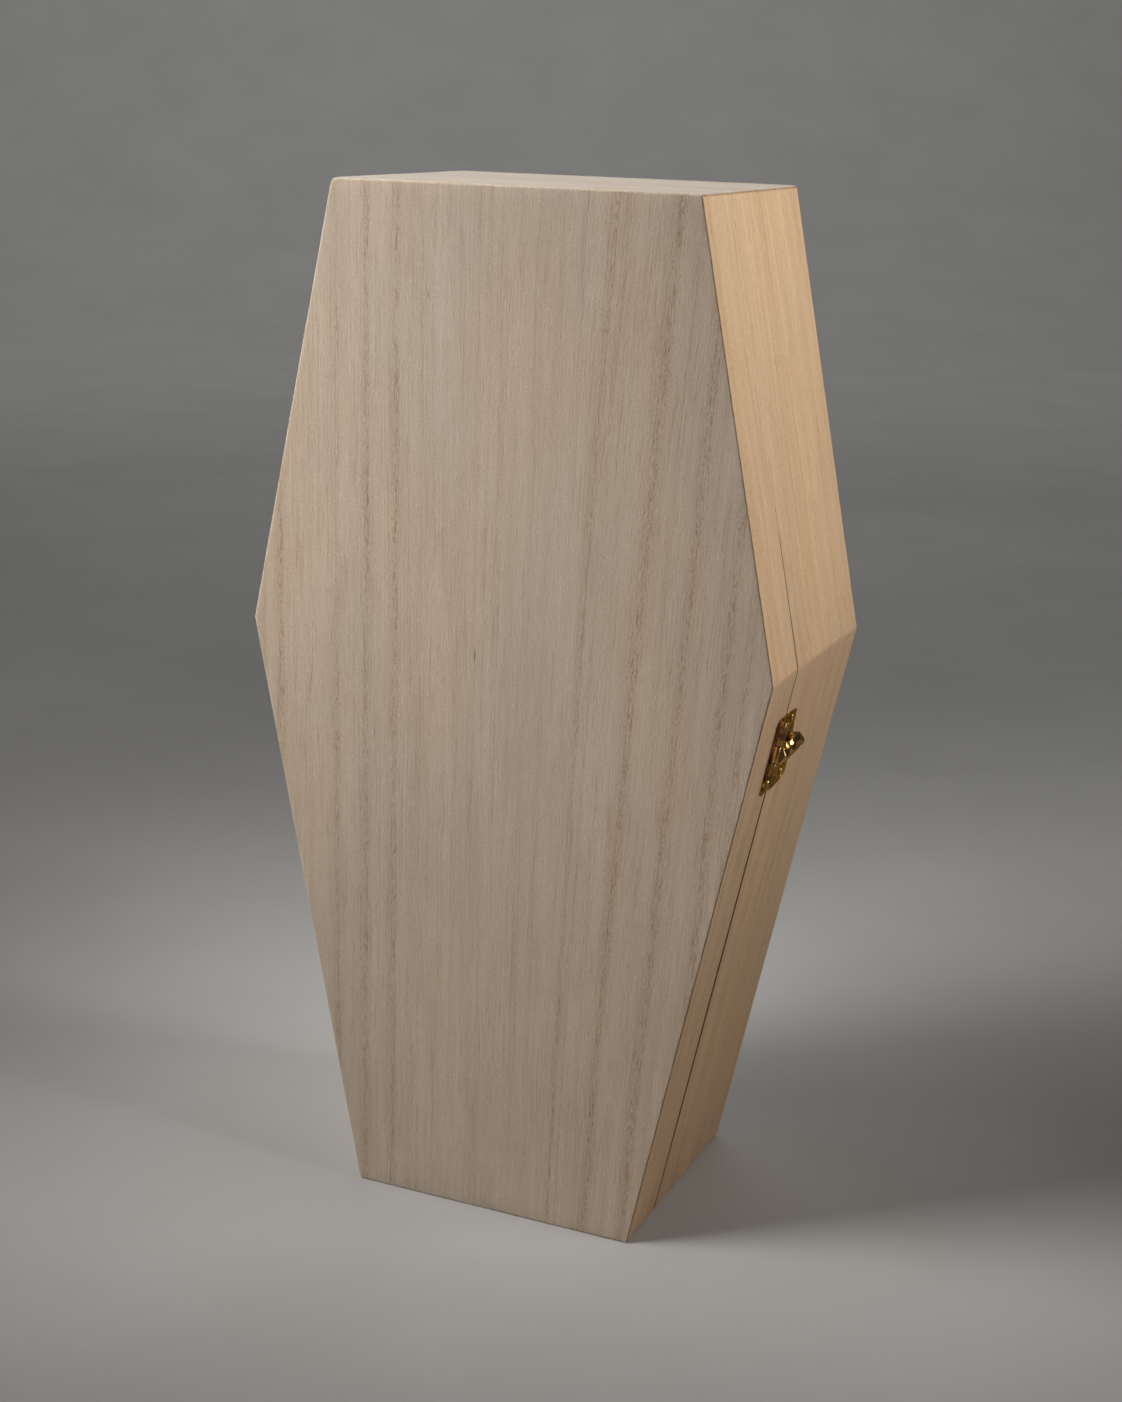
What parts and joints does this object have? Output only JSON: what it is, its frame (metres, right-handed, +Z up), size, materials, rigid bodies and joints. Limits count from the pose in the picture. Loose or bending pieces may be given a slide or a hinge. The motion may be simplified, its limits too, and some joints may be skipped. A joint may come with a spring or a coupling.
{
  "type": "coffin-shaped wooden box",
  "caption": "Small coffin-shaped box of pale unfinished wood, standing on its foot end, with a hinged lid at the front and a small brass clasp on its side.",
  "frame": {"origin": "the middle of the underside that the box stands on", "axes": "+Z up, from the foot end to the head end; -Y is the lid's face, +Y the back; +X is the side with the clasp"},
  "size_m": [0.1607, 0.078, 0.3],
  "materials": {
    "panel_wood": "bare, sanded, pale straight-grained wood, greyish beige",
    "board_wood": "bare, sanded, pale straight-grained wood, a little warmer",
    "brass": "bright stamped brass, a little tarnished in the folds"
  },
  "bodies": {
    "box": {"box_back_panel": "panel_wood", "box_lower_right_board": "board_wood", "box_upper_right_board": "board_wood", "box_head_board": "board_wood", "box_upper_left_board": "board_wood", "box_lower_left_board": "board_wood", "box_foot_board": "board_wood", "clasp_catch_plate": "brass", "clasp_catch_nail_top": "brass", "clasp_catch_nail_seam": "brass", "clasp_catch_nail_bottom": "brass", "hinge_lower_box_leaf": "brass", "hinge_lower_box_nail_a": "brass", "hinge_lower_box_nail_b": "brass", "hinge_lower_pin": "brass", "hinge_upper_box_leaf": "brass", "hinge_upper_box_nail_a": "brass", "hinge_upper_box_nail_b": "brass", "hinge_upper_pin": "brass"},
    "lid": {"lid_face_panel": "panel_wood", "lid_lower_right_rail": "board_wood", "lid_upper_right_rail": "board_wood", "lid_head_rail": "board_wood", "lid_upper_left_rail": "board_wood", "lid_lower_left_rail": "board_wood", "lid_foot_rail": "board_wood", "clasp_lid_plate": "brass", "clasp_hinge_pin": "brass", "clasp_lid_nail_upper": "brass", "clasp_lid_nail_lower": "brass", "hinge_lower_lid_leaf": "brass", "hinge_lower_lid_nail_a": "brass", "hinge_lower_lid_nail_b": "brass", "hinge_upper_lid_leaf": "brass", "hinge_upper_lid_nail_a": "brass", "hinge_upper_lid_nail_b": "brass"},
    "clasp_tongue": {"clasp_tongue": "brass"}
  },
  "joints": [
    {"name": "lid_hinge", "type": "hinge", "parent": "box", "child": "lid", "pos_m": [-0.06395, -0.01755, 0.08635], "axis": [0.2005, 0, -0.9797], "range_deg": [0, 180]},
    {"name": "clasp_tongue_hinge", "type": "hinge", "parent": "lid", "child": "clasp_tongue", "pos_m": [0.07699, -0.0234, 0.15054], "axis": [-0.2005, 0, -0.9797], "range_deg": [0, 110]}
  ]
}
